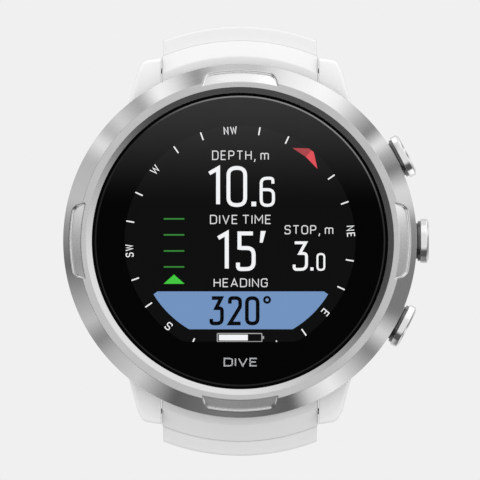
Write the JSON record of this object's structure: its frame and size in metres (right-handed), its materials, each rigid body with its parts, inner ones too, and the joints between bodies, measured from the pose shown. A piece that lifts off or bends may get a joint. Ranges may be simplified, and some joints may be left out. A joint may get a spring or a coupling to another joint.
{
  "type": "dive computer",
  "caption": "Round wrist dive computer with steel bezel, flat glass colour display, side push buttons and an open silicone quick-release strap with pin buckle.",
  "frame": {"origin": "centre of the case back's flat wrist face, on the dial axis", "axes": "the glass faces -Y, 12 o'clock is +Z, 3 o'clock is +X; +Y points into the wrist"},
  "size_m": [0.0549, 0.1148, 0.0644],
  "materials": {
    "brushed_steel": "brushed and satin stainless steel",
    "dark_steel": "satin, darker",
    "gold_contact": "gold plated",
    "white_case": "fine matte",
    "white_silicone": "matte silicone",
    "black_rubber": "matte",
    "black_print": "printed film",
    "display": "dark display with lit graphics",
    "diffuser": "translucent",
    "board": "solder mask",
    "chip": "moulded",
    "grey_plastic": "moulded",
    "cell_foil": "foil",
    "flex_cable": "polyimide film",
    "crystal_glass": "clear flat glass"
  },
  "bodies": {
    "case": {"case_body": "white_case", "bezel_ring": "brushed_steel", "crystal": "crystal_glass", "crystal_gasket": "black_rubber", "display_mask_ring": "black_print", "display_panel": "display", "backlight_guide": "diffuser", "display_cable": "flex_cable", "inner_chassis": "grey_plastic", "main_circuit_board": "board", "processor_chip": "chip", "compass_sensor": "chip", "radio_antenna": "gold_contact", "battery_cell": "cell_foil", "vibration_motor": "brushed_steel", "buzzer_disc": "gold_contact", "depth_sensor_capsule": "dark_steel", "depth_sensor_seal": "black_rubber", "depth_sensor_cover": "brushed_steel", "case_back": "brushed_steel", "case_back_seal": "black_rubber", "case_back_screw_1": "dark_steel", "charging_contact_1": "gold_contact", "case_back_screw_2": "dark_steel", "charging_contact_2": "gold_contact", "case_back_screw_3": "dark_steel", "charging_contact_3": "gold_contact", "case_back_screw_4": "dark_steel", "charging_contact_4": "gold_contact", "button_sleeve_upper": "dark_steel", "button_seal_upper": "black_rubber", "button_spring_upper": "brushed_steel", "button_switch_upper": "grey_plastic", "button_sleeve_middle": "dark_steel", "button_seal_middle": "black_rubber", "button_spring_middle": "brushed_steel", "button_switch_middle": "grey_plastic", "button_sleeve_lower": "dark_steel", "button_seal_lower": "black_rubber", "button_spring_lower": "brushed_steel", "button_switch_lower": "grey_plastic"},
    "button_upper": {"button_cap_upper": "brushed_steel", "button_clip_upper": "dark_steel"},
    "button_middle": {"button_cap_middle": "brushed_steel", "button_clip_middle": "dark_steel"},
    "button_lower": {"button_cap_lower": "brushed_steel", "button_clip_lower": "dark_steel"},
    "strap_upper_half": {"strap_upper": "white_silicone", "spring_bar_top": "brushed_steel", "release_spring_top": "brushed_steel", "strap_keeper_fixed": "white_silicone"},
    "strap_lower_half": {"strap_lower": "white_silicone", "spring_bar_bottom": "brushed_steel", "release_spring_bottom": "brushed_steel"},
    "release_pin_top": {"release_pin_top": "brushed_steel"},
    "release_pin_bottom": {"release_pin_bottom": "brushed_steel"},
    "buckle": {"buckle_frame": "brushed_steel", "buckle_bar": "brushed_steel"},
    "tongue": {"buckle_tongue": "brushed_steel"},
    "keeper": {"strap_keeper_sliding": "white_silicone"}
  },
  "joints": [
    {"name": "press_upper", "type": "slide", "parent": "case", "child": "button_upper", "axis": [-0.887, 0, -0.4617], "range_m": [0, 0.0009], "stiffness_N_per_m": 150, "deforming": ["button_spring_upper"]},
    {"name": "press_middle", "type": "slide", "parent": "case", "child": "button_middle", "axis": [-1, 0, 0], "range_m": [0, 0.0009], "stiffness_N_per_m": 150, "deforming": ["button_spring_middle"]},
    {"name": "press_lower", "type": "slide", "parent": "case", "child": "button_lower", "axis": [-0.887, 0, 0.4617], "range_m": [0, 0.0009], "stiffness_N_per_m": 150, "deforming": ["button_spring_lower"]},
    {"name": "strap_upper_turn", "type": "hinge", "parent": "case", "child": "strap_upper_half", "pos_m": [0, -0.0046, 0.0256], "axis": [1, 0, 0], "range_deg": [-5, 60], "stiffness_Nm_per_rad": 0.02},
    {"name": "strap_lower_turn", "type": "hinge", "parent": "case", "child": "strap_lower_half", "pos_m": [0, -0.0046, -0.0256], "axis": [-1, 0, 0], "range_deg": [-5, 60], "stiffness_Nm_per_rad": 0.02},
    {"name": "release_top", "type": "slide", "parent": "strap_upper_half", "child": "release_pin_top", "axis": [-1, 0, 0], "range_m": [0, 0.0015], "stiffness_N_per_m": 4, "deforming": ["release_spring_top"]},
    {"name": "release_bottom", "type": "slide", "parent": "strap_lower_half", "child": "release_pin_bottom", "axis": [1, 0, 0], "range_m": [0, 0.0015], "stiffness_N_per_m": 4, "deforming": ["release_spring_bottom"]},
    {"name": "buckle_turn", "type": "hinge", "parent": "strap_upper_half", "child": "buckle", "pos_m": [0, 0.07008, 0.01572], "axis": [-1, 0, 0], "range_deg": [-60, 60]},
    {"name": "tongue_turn", "type": "hinge", "parent": "buckle", "child": "tongue", "pos_m": [0, 0.07008, 0.01572], "axis": [1, 0, 0], "range_deg": [0, 70]},
    {"name": "keeper_slide", "type": "slide", "parent": "strap_upper_half", "child": "keeper", "axis": [0, -0.9511, 0.309], "range_m": [0, 0.018]}
  ]
}
